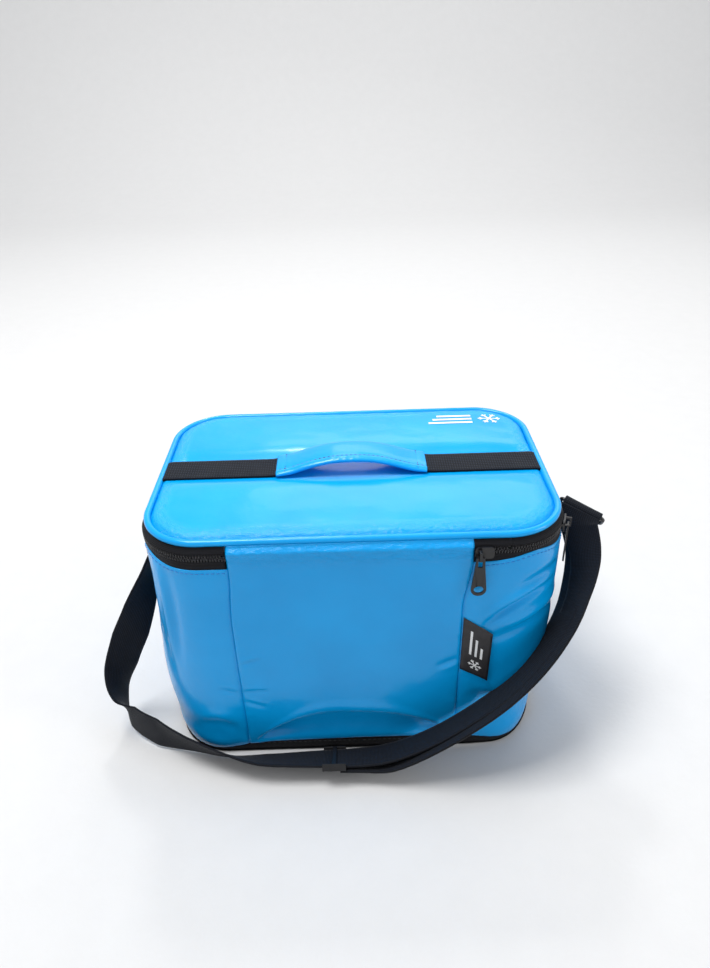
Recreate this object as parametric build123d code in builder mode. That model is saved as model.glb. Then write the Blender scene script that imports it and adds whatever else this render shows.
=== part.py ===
"""Insulated cooler bag, 300 x 196 x 209 mm over the body, zipped all round except at a fabric hinge.

Units are millimetres and +Z is up. The origin is the middle of the base, on the surface the bag
stands on. +X is the bag's right and -Y is the side that carries the fabric hinge of the lid.
"""
import math
import os

from build123d import *

os.makedirs("parts", exist_ok=True)

# ---- driving dimensions --------------------------------------------------------------------
LID_WIDTH = 297.0  # over the piping, along X
LID_DEPTH = 193.0  # over the piping, along Y
LID_RADIUS = 43.5  # outer corner of the piping
LID_TOP = 209.5  # top of the piping
PIPING = 5.0  # diameter of the piping

BODY_WIDTH = 300.0  # at the top edge of the body
BODY_DEPTH = 196.0
BODY_RADIUS = 45.0
BODY_TOP = 197.0  # height of the zip's closing line
TAPER = 4.0  # how far each wall leans in between the zip and the base

SKIN = 1.0  # PVC-coated fabric
FOAM = 8.0  # closed-cell foam
LINER = 0.8  # heat-sealed lining
GAP = 0.1  # between layers of the wall

BASE_SKIN = 1.6
BINDING_HEIGHT = 12.0
BINDING = 1.2
BOARD = 2.5
TAPE_FOOT = 187.0  # where the black zip tape starts, above the blue wall
COIL_TOP = 196.4  # upper edge of the body's coil
LID_COIL_FOOT = 198.0  # lower edge of the lid's coil
COIL_HEIGHT = 1.8
COIL_PROUD = 0.8  # how far the coil stands outside the tape
COIL_DEPTH = 1.7

SEAM_LEFT = -86.0  # the hinge panel lies between these seams
SEAM_RIGHT = 76.0
HINGE_PANEL_TOP = 201.4

WEBBING = 30.0  # width of the shoulder strap
WEBBING_THICK = 1.6
LID_WEBBING = 26.0  # width of the handle webbing
CORD = 5.0  # diameter of the plain tube that stands for the free strap

CORNER_X = BODY_WIDTH / 2 - BODY_RADIUS  # centre of the body's corner bend
CORNER_Y = -(BODY_DEPTH / 2 - BODY_RADIUS)


# ---- helpers -------------------------------------------------------------------------------
def finish(piece, name):
    """Labels one finished piece and writes its STEP file."""
    piece.part.label = name
    export_step(piece.part, f"parts/{name}.step")


def body_outline(inset, z):
    """Cross-section of the body at height z, inset from its outer face."""
    grow = -inset - TAPER * (1 - z / BODY_TOP)
    with BuildSketch(Plane.XY.offset(z)) as outline:
        RectangleRounded(BODY_WIDTH + 2 * grow, BODY_DEPTH + 2 * grow, BODY_RADIUS + grow)
    return outline.sketch


def body_block(inset, z_low, z_high, mode=Mode.ADD):
    """Solid block with the body's tapering outline, inset from its outer face."""
    loft([body_outline(inset, z_low), body_outline(inset, z_high)], ruled=True, mode=mode)


def body_wall(outer, inner, z_low, z_high):
    """One closed layer of the wall, between two insets."""
    body_block(outer, z_low, z_high)
    body_block(inner, z_low, z_high, mode=Mode.SUBTRACT)


def box_between(low, high, mode=Mode.ADD):
    """Axis-aligned box between two corners."""
    centre = [(a + b) / 2 for a, b in zip(low, high)]
    size = [b - a for a, b in zip(low, high)]
    with Locations(tuple(centre)):
        Box(*size, mode=mode)


def hinge_slot(x_low, x_high, mode):
    """Keeps or removes the stretch of the hinge side between two x positions."""
    box_between((x_low, -BODY_DEPTH, -1), (x_high, -BODY_DEPTH / 2 + 15, LID_TOP), mode=mode)


def lid_block(inset, z_low, z_high, mode=Mode.ADD):
    """Solid block with the lid's outline, inset from the outside of the piping."""
    with BuildSketch(Plane.XY.offset(z_low)) as outline:
        RectangleRounded(LID_WIDTH - 2 * inset, LID_DEPTH - 2 * inset, LID_RADIUS - inset)
    extrude(outline.sketch, amount=z_high - z_low, mode=mode)


def gentle_radii(points):
    """Bend radius at each inner point: as large as the two runs beside it allow."""
    vectors = [Vector(*point) for point in points]
    radii = []
    for before, corner, after in zip(vectors, vectors[1:], vectors[2:]):
        half_turn = math.radians((corner - before).get_angle(after - corner)) / 2
        shorter = min((corner - before).length, (after - corner).length)
        radii.append(0.45 * shorter / math.tan(half_turn))
    return radii


def cord(points, name):
    """A plain round tube along a route of straight runs and tangent arcs."""
    radii = gentle_radii(points)
    with BuildPart() as tube:
        with BuildLine() as route:
            FilletPolyline(*points, radius=radii)
        path = route.wire()
        with BuildSketch(Plane(origin=path @ 0, z_dir=path % 0)):
            Circle(CORD / 2)
        sweep(path=path)
    expected = math.pi * CORD**2 / 4 * path.length
    print(name, "radii", [round(radius) for radius in radii], "length", round(path.length, 1))
    print(name, "volume ratio", round(tube.part.volume / expected, 3))
    finish(tube, name)


# ---- base ----------------------------------------------------------------------------------
with BuildPart() as base_panel:
    body_block(0, 0, BASE_SKIN)
finish(base_panel, "base_panel")

with BuildPart() as base_binding:
    body_wall(-BINDING, 0, 0.3, BINDING_HEIGHT)
finish(base_binding, "base_binding")

BOARD_FOOT = BASE_SKIN + GAP
with BuildPart() as base_board:
    body_block(SKIN + 1.5, BOARD_FOOT, BOARD_FOOT + BOARD)
finish(base_board, "base_board")

FOAM_FOOT = BOARD_FOOT + BOARD + GAP
with BuildPart() as base_foam:
    body_block(SKIN + GAP, FOAM_FOOT, FOAM_FOOT + FOAM)
finish(base_foam, "base_foam")

# ---- walls: four foam panels, the outer fabric and the lining ---------------------------------
WALL_FOOT = FOAM_FOOT + FOAM + GAP
FOAM_TOP = 194.0
FOAM_OUTER = SKIN + GAP
FOAM_INNER = FOAM_OUTER + FOAM
SPLIT = CORNER_X - 0.1  # the side panels of foam carry the corner bends
LONG = BODY_WIDTH

for name, low, high in (
    ("front_foam", (-SPLIT, 0, 0), (SPLIT, LONG, LONG)),
    ("back_foam", (-SPLIT, -LONG, 0), (SPLIT, 0, LONG)),
    ("left_foam", (-LONG, -LONG, 0), (-SPLIT - 2 * GAP, LONG, LONG)),
    ("right_foam", (SPLIT + 2 * GAP, -LONG, 0), (LONG, LONG, LONG)),
):
    with BuildPart() as foam_panel:
        body_wall(FOAM_OUTER, FOAM_INNER, WALL_FOOT, FOAM_TOP)
        box_between(low, high, mode=Mode.INTERSECT)
    finish(foam_panel, name)

LINER_OUTER = FOAM_INNER + GAP
LINER_FLOOR = WALL_FOOT + LINER
with BuildPart() as inner_liner:
    body_block(LINER_OUTER, WALL_FOOT, FOAM_TOP + 0.5)
    body_block(LINER_OUTER + LINER, LINER_FLOOR, FOAM_TOP + 0.5, mode=Mode.SUBTRACT)
finish(inner_liner, "inner_liner")

with BuildPart() as wrap_panel:
    body_wall(0, SKIN, BASE_SKIN + GAP, TAPE_FOOT)
    hinge_slot(SEAM_LEFT - GAP, SEAM_RIGHT + GAP, Mode.SUBTRACT)
finish(wrap_panel, "wrap_panel")

with BuildPart() as hinge_panel:
    body_wall(0, SKIN, BASE_SKIN + GAP, HINGE_PANEL_TOP)
    hinge_slot(SEAM_LEFT, SEAM_RIGHT, Mode.INTERSECT)
finish(hinge_panel, "hinge_panel")

LABEL_WIDTH = 21.0
LABEL_THICK = 0.9
LABEL_SEAM_LOW = 88.0  # the label's edge in the seam, from here
LABEL_SEAM_HIGH = 138.0
LABEL_FREE_LOW = 77.0  # and its free edge
LABEL_FREE_HIGH = 124.0
LABEL_INNER = BODY_DEPTH / 2 - TAPER * (1 - LABEL_SEAM_HIGH / BODY_TOP) + 0.15
with BuildPart() as side_label:
    with BuildSketch(Plane.XZ.offset(LABEL_INNER)):
        with BuildLine():
            Polyline((SEAM_RIGHT, LABEL_SEAM_LOW), (SEAM_RIGHT + LABEL_WIDTH - 1, LABEL_FREE_LOW),
                     (SEAM_RIGHT + LABEL_WIDTH, LABEL_FREE_HIGH), (SEAM_RIGHT, LABEL_SEAM_HIGH),
                     close=True)
        make_face()
    extrude(amount=LABEL_THICK)
finish(side_label, "side_label")

# ---- zip -----------------------------------------------------------------------------------
COIL_FOOT = COIL_TOP - COIL_HEIGHT
with BuildPart() as body_zip_tape:
    body_wall(0, SKIN, TAPE_FOOT + GAP, COIL_FOOT)
    hinge_slot(SEAM_LEFT - GAP, SEAM_RIGHT + GAP, Mode.SUBTRACT)
finish(body_zip_tape, "body_zip_tape")

with BuildPart() as body_zip_coil:
    body_wall(-COIL_PROUD, COIL_DEPTH - COIL_PROUD, COIL_FOOT, COIL_TOP)
    hinge_slot(SEAM_LEFT - 1, SEAM_RIGHT + 1, Mode.SUBTRACT)
finish(body_zip_coil, "body_zip_coil")

ZIP_END = CORNER_X + 1  # the last closed stretch of zip, beside the hinge panel, stays on the body
LID_TAPE_FOOT = LID_COIL_FOOT + COIL_HEIGHT
LID_TAPE_TOP = 204.3


def lid_zip_half(first, last):
    """The lid's half of the zip: a strip of tape over a strip of coil."""
    body_wall(-COIL_PROUD, COIL_DEPTH - COIL_PROUD, first, LID_TAPE_FOOT)
    body_wall(0, SKIN, LID_TAPE_FOOT, last)


with BuildPart() as zip_end_tape:
    lid_zip_half(LID_COIL_FOOT, HINGE_PANEL_TOP)
    hinge_slot(SEAM_RIGHT + 1, ZIP_END - 0.6, Mode.INTERSECT)
finish(zip_end_tape, "zip_end_tape")

with BuildPart() as lid_zip_tape:
    body_wall(0, SKIN, LID_TAPE_FOOT, LID_TAPE_TOP)
    hinge_slot(SEAM_LEFT - GAP, ZIP_END, Mode.SUBTRACT)
finish(lid_zip_tape, "lid_zip_tape")

with BuildPart() as lid_zip_coil:
    body_wall(-COIL_PROUD, COIL_DEPTH - COIL_PROUD, LID_COIL_FOOT, LID_TAPE_FOOT)
    hinge_slot(SEAM_LEFT - 1, ZIP_END, Mode.SUBTRACT)
finish(lid_zip_coil, "lid_zip_coil")

STOP = 1.2
with BuildPart() as zip_end_stops:
    for seam, side in ((SEAM_LEFT, -1), (SEAM_RIGHT, 1)):
        near = seam + side * 0.2
        far = near + side * 0.7
        box_between(
            (min(near, far), -BODY_DEPTH / 2 - COIL_PROUD, COIL_FOOT),
            (max(near, far), -BODY_DEPTH / 2 + STOP, COIL_TOP + 0.6),
        )
finish(zip_end_stops, "zip_end_stops")

# ---- zip sliders and pullers --------------------------------------------------------------
CLEAR = 0.4
PLATE = 1.2
PLATE_LENGTH = 13.0
PLATE_HEIGHT = 9.4
BACK_LENGTH = PLATE_LENGTH - 3  # the hidden back plate
BACK_HEIGHT = 5.4
WEB_LENGTH = 2.0  # the web that joins the plates at the open end
BAIL_SHIFT = 3.0  # the bail stands nearer to the closed end
BAIL_THICK = 2.2
BAIL_HEIGHT = 7.4
BAIL_OUT = 4.4
BAIL_HOLE = 5.6  # height of the hole through the bail
PIVOT_Z = 193.7
PIN = 1.0  # height of the pin at the top of the puller
PULLER_THICK = 1.2
PULLER_LENGTH = 32.0
PULLER_TOP = 5.8  # widths of the puller from top to bottom
PULLER_NECK = 7.2
PULLER_FOOT = 10.8
SLIDER_A_X = 88.0
SLIDER_B_ANGLE = 18.0  # round the corner bend, from the right-hand side
LINE_Z = (COIL_TOP + LID_COIL_FOOT) / 2

FRONT_IN = COIL_PROUD + CLEAR
FRONT_OUT = FRONT_IN + PLATE
PIVOT_OUT = FRONT_OUT + 2.2
BACK_OUT = -(COIL_DEPTH - COIL_PROUD) - CLEAR


def bench(angle):
    """Plane on the body's outer face: x along the zip, y up, z outward."""
    outward = Vector(math.cos(angle), -math.sin(angle), 0)
    along = Vector(math.sin(angle), math.cos(angle), 0)
    origin = Vector(CORNER_X, CORNER_Y, LINE_Z) + outward * BODY_RADIUS
    return Plane(origin=origin, x_dir=along, z_dir=outward)


def zip_slider(face, open_end, name):
    """Two plates joined by a web at the open end, with a bail in front for the puller."""
    bail_x = -open_end * BAIL_SHIFT
    web_x = open_end * ((PLATE_LENGTH - WEB_LENGTH) / 2 - 0.4)
    with BuildPart() as slider:
        with BuildSketch(face.offset(FRONT_IN)):
            with Locations((0, -0.9)):
                RectangleRounded(PLATE_LENGTH, PLATE_HEIGHT, 2.5)
        extrude(amount=PLATE)
        with BuildSketch(face.offset(BACK_OUT - 1)):
            with Locations((0, 0.2)):
                RectangleRounded(BACK_LENGTH, BACK_HEIGHT, 1.5)
        extrude(amount=1)
        with BuildSketch(face.offset(BACK_OUT - 0.5)):
            with Locations((web_x, 0)):
                Rectangle(WEB_LENGTH, LID_COIL_FOOT - COIL_TOP - 0.6)
        extrude(amount=FRONT_IN - BACK_OUT + 1)
        with BuildSketch(face.offset(FRONT_OUT - 0.2)):
            with Locations((bail_x, -1.4)):
                RectangleRounded(BAIL_THICK, BAIL_HEIGHT, 0.6)
        extrude(amount=BAIL_OUT)
        with BuildSketch(face.offset(FRONT_OUT + 0.3)):
            with Locations((bail_x, -1.6)):
                Rectangle(BAIL_THICK + 1, BAIL_HOLE)
        extrude(amount=BAIL_OUT - 1.6, mode=Mode.SUBTRACT)
    finish(slider, name)


def zip_puller(face, open_end, name):
    """Flat tab that widens towards an oval hole, hung on a pin through the slider's bail."""
    hung = Plane(
        origin=face.origin - face.x_dir * open_end * BAIL_SHIFT, x_dir=face.x_dir, z_dir=face.z_dir
    )
    pivot = PIVOT_Z - LINE_Z
    foot = pivot - PULLER_LENGTH
    round_end = PULLER_FOOT / 2
    with BuildPart() as puller:
        with BuildSketch(hung.offset(PIVOT_OUT - PULLER_THICK / 2)):
            with BuildLine():
                Polyline(
                    (-PULLER_TOP / 2, pivot + PIN / 2), (PULLER_TOP / 2, pivot + PIN / 2),
                    (PULLER_NECK / 2, pivot - 9), (round_end, foot + round_end),
                    (-round_end, foot + round_end), (-PULLER_NECK / 2, pivot - 9), close=True,
                )
            make_face()
            with Locations((0, foot + round_end)):
                Circle(round_end)
                Ellipse(3.3, 2.9, mode=Mode.SUBTRACT)
            with Locations((0, pivot - PIN / 2 - 3.5)):
                Rectangle(BAIL_THICK + 0.8, 7.0, mode=Mode.SUBTRACT)
        extrude(amount=PULLER_THICK)
    finish(puller, name)


side_angle = math.radians(SLIDER_B_ANGLE)
hinge_side_bench = Plane(
    origin=(SLIDER_A_X, -BODY_DEPTH / 2, LINE_Z), x_dir=(1, 0, 0), z_dir=(0, -1, 0)
)
corner_bench = bench(side_angle)
zip_slider(hinge_side_bench, 1, "hinge_side_slider")
zip_puller(hinge_side_bench, 1, "hinge_side_puller")
zip_slider(corner_bench, -1, "corner_slider")
zip_puller(corner_bench, -1, "corner_puller")

# ---- lid -----------------------------------------------------------------------------------
LID_SKIN_INSET = PIPING
LID_SKIN_FOOT = LID_TOP - 2.6
with BuildPart() as lid_panel:
    lid_block(LID_SKIN_INSET, LID_SKIN_FOOT, LID_SKIN_FOOT + SKIN)
finish(lid_panel, "lid_panel")

with BuildPart() as lid_foam:
    lid_block(LID_SKIN_INSET + 0.6, LID_COIL_FOOT, LID_SKIN_FOOT - GAP)
finish(lid_foam, "lid_foam")

with BuildPart() as lid_liner:
    lid_block(LID_SKIN_INSET + 0.6, LID_COIL_FOOT - GAP - LINER, LID_COIL_FOOT - GAP)
finish(lid_liner, "lid_liner")

PIPING_Z = LID_TOP - PIPING / 2
with BuildPart() as lid_piping:
    with BuildSketch(Plane.XY.offset(PIPING_Z), mode=Mode.PRIVATE) as piping_line:
        RectangleRounded(LID_WIDTH - PIPING, LID_DEPTH - PIPING, LID_RADIUS - PIPING / 2)
    piping_path = piping_line.sketch.face().outer_wire()
    with BuildSketch(Plane(origin=piping_path @ 0, z_dir=piping_path % 0)):
        Circle(PIPING / 2)
    sweep(path=piping_path)
finish(lid_piping, "lid_piping")

# ---- carrying handle -------------------------------------------------------------------------
LID_SURFACE = LID_SKIN_FOOT + SKIN
HANDLE_HALF = 57.0  # half the length of the blue sleeve
HANDLE_RISE = 12.0  # height of the webbing's middle above the lid
SLEEVE_THICK = 5.0
WEB_Z = LID_SURFACE + GAP + WEBBING_THICK / 2
WEB_END = LID_WIDTH / 2 - PIPING - 0.5
HANDLE_FOOT = 64.0  # where the webbing leaves the lid
HANDLE_CROWN = 30.0  # half the length of the raised middle
HANDLE_POINTS = [
    (-WEB_END, WEB_Z),
    (-HANDLE_FOOT, WEB_Z),
    (-HANDLE_CROWN, WEB_Z + HANDLE_RISE),
    (HANDLE_CROWN, WEB_Z + HANDLE_RISE),
    (HANDLE_FOOT, WEB_Z),
    (WEB_END, WEB_Z),
]
HANDLE_BEND = 60.0


def handle_band(thickness, width, mode=Mode.ADD):
    """Band of the given thickness and width along the handle's side profile."""
    with BuildSketch(Plane.XZ) as profile:
        with BuildLine() as line:
            FilletPolyline(*HANDLE_POINTS, radius=HANDLE_BEND)
        trace(line.edges(), line_width=thickness)
    extrude(profile.sketch, amount=width / 2, both=True, mode=mode)


with BuildPart() as handle_webbing:
    handle_band(WEBBING_THICK, LID_WEBBING)
finish(handle_webbing, "handle_webbing")

with BuildPart() as handle_sleeve:
    handle_band(SLEEVE_THICK, WEBBING)
    box_between((-HANDLE_HALF, -WEBBING, 0), (HANDLE_HALF, WEBBING, 2 * LID_TOP), mode=Mode.INTERSECT)
    handle_band(WEBBING_THICK + 2 * GAP, LID_WEBBING + 2 * GAP, mode=Mode.SUBTRACT)
finish(handle_sleeve, "handle_sleeve")

# ---- strap rings, tabs and loops --------------------------------------------------------------
WIRE = 3.0
RING_LONG = 34.0  # between the wire's centrelines
RING_SHORT = 12.0
LOOP = WIRE / 2 + 0.5 + WEBBING_THICK / 2  # webbing's middle line round a ring's wire


def ring(plane, name):
    """Rectangular wire ring: its long bars run along the plane's x direction."""
    half_long = RING_LONG / 2
    half_short = RING_SHORT / 2
    with BuildPart() as wire_ring:
        with BuildLine(plane) as loop:
            FilletPolyline((half_long, -half_short), (half_long, half_short),
                           (-half_long, half_short), (-half_long, -half_short),
                           radius=3, close=True)
        path = loop.wire()
        with BuildSketch(Plane(origin=path @ 0, z_dir=path % 0)):
            Circle(WIRE / 2)
        sweep(path=path)
    finish(wire_ring, name)


def webbing_loop(plane, leg_a, leg_b, name):
    """Webbing folded round a ring's bar; the plane's z runs along the bar, x along the legs."""
    with BuildPart() as loop:
        with BuildSketch(plane) as profile:
            with BuildLine() as line:
                Line((leg_a, -LOOP), (0, -LOOP))
                ThreePointArc((0, -LOOP), (-LOOP, 0), (0, LOOP))
                Line((0, LOOP), (leg_b, LOOP))
            trace(line.edges(), line_width=WEBBING_THICK)
        extrude(profile.sketch, amount=WEBBING / 2, both=True)
    finish(loop, name)


ANCHOR_Y = -23.0
LEFT_RING_X = -154.6
LEFT_RING_Z = 169.0
left_ring_plane = Plane(
    origin=(LEFT_RING_X, ANCHOR_Y, LEFT_RING_Z), x_dir=(0, -1, 0), z_dir=(-1, 0, 0)
)
ring(left_ring_plane, "left_ring")
webbing_loop(
    Plane(origin=(LEFT_RING_X, ANCHOR_Y, LEFT_RING_Z + RING_SHORT / 2), x_dir=(0, 0, 1),
          z_dir=(0, -1, 0)),
    7.5, 7.5, "left_tab",
)
webbing_loop(
    Plane(origin=(LEFT_RING_X, ANCHOR_Y, LEFT_RING_Z - RING_SHORT / 2), x_dir=(0, 0, -1),
          z_dir=(0, 1, 0)),
    24, 6, "strap_end_loop",
)

FOLD = Vector(173, -34, 185)  # middle of the bar that the strap folds over on the right
BAR = Vector(0.83, -0.48, -0.29).normalized()
LEGS = Vector(0, -0.1, -0.995)
LEGS = (LEGS - BAR * LEGS.dot(BAR)).normalized()
LEG_SIDE = BAR.cross(LEGS)  # from the strap's return leg to its main leg
RING_TILT = math.radians(43)  # the ring leans away from the legs, towards the body
RING_DOWN = LEGS * math.cos(RING_TILT) + LEG_SIDE * math.sin(RING_TILT)
FOLD_LEG = 8.0  # straight webbing on each side of the fold
right_ring_plane = Plane(
    origin=FOLD + RING_DOWN * (RING_SHORT / 2), x_dir=BAR, z_dir=BAR.cross(RING_DOWN * -1)
)
ring(right_ring_plane, "right_ring")
webbing_loop(Plane(origin=FOLD, x_dir=LEGS, z_dir=BAR), FOLD_LEG, FOLD_LEG, "strap_fold")

RIGHT_BAR = FOLD + RING_DOWN * RING_SHORT
RIGHT_ANCHOR = Vector(BODY_WIDTH / 2 + 0.4, -8, 176)
TAB_END = RIGHT_BAR + RING_DOWN * (WIRE / 2 + 0.5 + WEBBING_THICK)
with BuildPart() as right_tab:
    with BuildSketch(Plane(origin=RIGHT_ANCHOR, x_dir=(0, -1, 0), z_dir=(1, 0, 0))) as sewn_end:
        Rectangle(WEBBING, 2 * WEBBING_THICK)
    with BuildSketch(Plane(origin=TAB_END, x_dir=BAR, z_dir=RING_DOWN * -1)) as ring_end:
        Rectangle(WEBBING, 2 * WEBBING_THICK)
    loft([sewn_end.sketch, ring_end.sketch])
finish(right_tab, "right_tab")

# ---- shoulder strap ---------------------------------------------------------------------------
FLAT_Y = -116.0
FLAT_Z = 12.6
FLAT_START = -76.0
FLAT_END = 0.0
ADJUSTER_X = -20.0
strap_across = Vector(0, 0.88, -0.48).normalized()  # across the webbing where it lies in front
strap_face = Vector(1, 0, 0).cross(strap_across)
flat_plane = Plane(origin=(0, FLAT_Y, FLAT_Z), x_dir=(1, 0, 0), z_dir=strap_face)

LEFT_ROUTE = [
    (-157, -25, 155),
    (-162, -34, 139),
    (-169, -45, 116),
    (-181, -50, 88),
    (-194, -54, 58),
    (-198, -62, 33),
    (-186, -76, 20),
    (-163, -90, 18),
    (-134, -102, 17),
    (-103, -112, 14),
    (FLAT_START - 1, FLAT_Y, FLAT_Z),
]
cord(LEFT_ROUTE, "strap_left")

main_end = FOLD + LEGS * (FOLD_LEG + 1.5) + LEG_SIDE * LOOP
RIGHT_ROUTE = [
    (FLAT_END + 1, FLAT_Y, FLAT_Z),
    (25, -115, 15.5),
    (54, -114, 29),
    (83, -113, 51),
    (111, -111, 76),
    (133, -102, 98),
    (151, -87, 118),
    (162, -70, 128),
    (170, -54, 140),
    (174, -43, 153),
    (173, -36, 165),
    tuple(main_end),
]
cord(RIGHT_ROUTE, "strap_right")

tail_start = FOLD + LEGS * (FOLD_LEG + 1.5) - LEG_SIDE * LOOP
TAIL_ROUTE = [
    tuple(tail_start),
    (172, -43, 168),
    (174, -52, 158),
    (172, -62, 147),
    (165, -76, 134),
    (153, -94, 122),
    (134, -110, 102),
    (110, -120, 79),
    (82, -122, 53),
    (54, -122, 30),
    (32, -121, 14.5),
    (17, -120, 8.4),
]
cord(TAIL_ROUTE, "strap_tail")

with BuildPart() as strap_flat:
    with BuildSketch(flat_plane.offset(-WEBBING_THICK / 2)):
        with Locations(((FLAT_START + FLAT_END) / 2, 0)):
            Rectangle(FLAT_END - FLAT_START, WEBBING)
    extrude(amount=WEBBING_THICK)
finish(strap_flat, "strap_flat")

ADJUSTER_LONG = 34.0  # across the webbing
ADJUSTER_SHORT = 18.0  # along the webbing
ADJUSTER_BAR = 3.2
ADJUSTER_THICK = 1.8
RAIL = (ADJUSTER_LONG - WEBBING) / 2 - 0.4
STRAP_GAP = WEBBING_THICK / 2 + 0.3
with BuildPart() as strap_adjuster:
    for side in (-1, 1):
        with BuildSketch(flat_plane.offset(-STRAP_GAP - ADJUSTER_THICK)):
            with Locations((ADJUSTER_X + side * (ADJUSTER_SHORT - ADJUSTER_BAR) / 2, 0)):
                Rectangle(ADJUSTER_BAR, ADJUSTER_LONG)
        extrude(amount=ADJUSTER_THICK)
        with BuildSketch(flat_plane.offset(-STRAP_GAP - ADJUSTER_THICK)):
            with Locations((ADJUSTER_X, side * (ADJUSTER_LONG - RAIL) / 2)):
                Rectangle(ADJUSTER_SHORT, RAIL)
        extrude(amount=2 * ADJUSTER_THICK + 2 * STRAP_GAP)
    with BuildSketch(flat_plane.offset(STRAP_GAP)):
        with Locations((ADJUSTER_X, 0)):
            Rectangle(ADJUSTER_BAR, ADJUSTER_LONG)
    extrude(amount=ADJUSTER_THICK)
finish(strap_adjuster, "strap_adjuster")

TAIL_DROP = STRAP_GAP + ADJUSTER_THICK + 0.3
TAIL_LOW_X = -14.0
TAIL_HIGH_X = 2.0
with BuildPart() as strap_tail_end:
    with BuildSketch(flat_plane.offset(-TAIL_DROP - WEBBING_THICK)):
        with Locations(((TAIL_LOW_X + TAIL_HIGH_X) / 2, 0)):
            Rectangle(TAIL_HIGH_X - TAIL_LOW_X, WEBBING)
    extrude(amount=WEBBING_THICK)
finish(strap_tail_end, "strap_tail_end")
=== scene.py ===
"""Looks of an insulated cooler bag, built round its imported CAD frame.

Sizes here are in millimetres, and a mesh is scaled to metres when it is made. +Z is up, +X is the end
where the zip sliders are parked, and -Y is the side with the fabric hinge.
"""

import math

import bpy
import numpy as np
from mathutils import Matrix, Vector, noise


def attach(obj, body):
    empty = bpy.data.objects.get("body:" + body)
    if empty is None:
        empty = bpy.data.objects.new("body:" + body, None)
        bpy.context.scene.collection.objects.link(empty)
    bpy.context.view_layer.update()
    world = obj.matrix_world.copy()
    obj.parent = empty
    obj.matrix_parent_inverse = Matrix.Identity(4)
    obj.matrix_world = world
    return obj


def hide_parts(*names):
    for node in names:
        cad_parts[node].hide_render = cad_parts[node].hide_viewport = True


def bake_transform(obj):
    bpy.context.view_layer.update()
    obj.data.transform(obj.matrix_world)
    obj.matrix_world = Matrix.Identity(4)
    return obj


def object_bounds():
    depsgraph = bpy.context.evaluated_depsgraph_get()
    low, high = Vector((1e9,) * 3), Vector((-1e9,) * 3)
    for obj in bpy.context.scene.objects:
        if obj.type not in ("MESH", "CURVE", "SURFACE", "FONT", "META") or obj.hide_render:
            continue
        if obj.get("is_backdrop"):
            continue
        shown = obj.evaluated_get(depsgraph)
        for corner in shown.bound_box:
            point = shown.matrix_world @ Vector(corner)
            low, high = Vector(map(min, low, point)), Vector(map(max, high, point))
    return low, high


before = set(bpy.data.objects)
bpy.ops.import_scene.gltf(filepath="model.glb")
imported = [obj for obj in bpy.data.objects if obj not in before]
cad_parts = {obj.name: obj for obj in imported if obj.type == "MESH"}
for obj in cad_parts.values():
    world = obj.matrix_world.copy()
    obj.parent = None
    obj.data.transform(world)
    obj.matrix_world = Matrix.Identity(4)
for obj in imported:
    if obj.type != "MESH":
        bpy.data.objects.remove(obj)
cad_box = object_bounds()

MM = 0.001

# ---- sizes ---------------------------------------------------------------------------------
SPINE_X = 105.0  # half-sides of the rectangle through the centres of the body's corner bends
SPINE_Y = 53.0
BEND = 45.0  # corner bend of the wall at the height of the zip
TAPER = 4.0  # how far the wall leans in at the base
BODY_TOP = 197.0
QUARTER = math.pi / 2 * BEND
AROUND = 4 * (SPINE_X + SPINE_Y + QUARTER)  # once round the body

SEAM_LEFT = -86.0  # the centre panel lies between these seams
SEAM_RIGHT = 76.0
ZIP_END = 106.0  # the lid's half of the zip is cut here, beside the centre panel
TAPE_FOOT = 187.0
COIL_FOOT = 194.6
COIL_MIDDLE = 197.2
COIL_TOP = 199.8
LID_TAPE_TOP = 204.9
PANEL_TOP = 205.6
PIPING = 2.5  # radius
PIPING_Z = 207.0
LID_BEND = 43.5  # outer corner of the piping
LID_SKIN_Z = 207.8

WEBBING = 30.0
WEBBING_THICK = 1.6
HANDLE_WEBBING = 26.0
WEB_Z = 208.8  # middle of the handle webbing on the lid
SLEEVE_HALF = 57.0


# ---- places on the body ----------------------------------------------------------------------
def spine(s):
    """Centre of bend and outward angle at distance s round the body from the middle of the hinge side."""
    turns = np.cumsum([0, SPINE_X, QUARTER, 2 * SPINE_Y, QUARTER, 2 * SPINE_X, QUARTER,
                       2 * SPINE_Y, QUARTER, SPINE_X])
    s = np.asarray(s, float) % AROUND
    x = np.interp(s, turns, SPINE_X * np.array([0, 1, 1, 1, 1, -1, -1, -1, -1, 0]))
    y = np.interp(s, turns, SPINE_Y * np.array([-1, -1, -1, 1, 1, 1, 1, -1, -1, -1]))
    angle = np.interp(s, turns, math.pi / 2 * np.array([-1, -1, 0, 0, 1, 1, 2, 2, 3, 3]))
    return x, y, angle


def wall(s, z, out=0.0):
    """Point on the wall at distance s round it and height z, moved outward."""
    x, y, angle = spine(s)
    radius = BEND - TAPER * (1 - np.asarray(z, float) / BODY_TOP) + out
    return np.stack(np.broadcast_arrays(x + np.cos(angle) * radius, y + np.sin(angle) * radius, z), -1)


def lid_point(s, radius, z):
    """Point of the lid at a distance from the spine rectangle, or inside it where radius is negative."""
    x, y, angle = spine(s)
    inner = 1 + np.minimum(radius, 0) / SPINE_Y
    outer = np.maximum(radius, 0)
    return np.stack(
        np.broadcast_arrays(x * inner + np.cos(angle) * outer, y * inner + np.sin(angle) * outer, z), -1
    )


def bump(distance, width):
    return np.exp(-((distance / width) ** 2))


def smooth(t):
    t = np.clip(t, 0, 1)
    return t * t * (3 - 2 * t)


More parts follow.
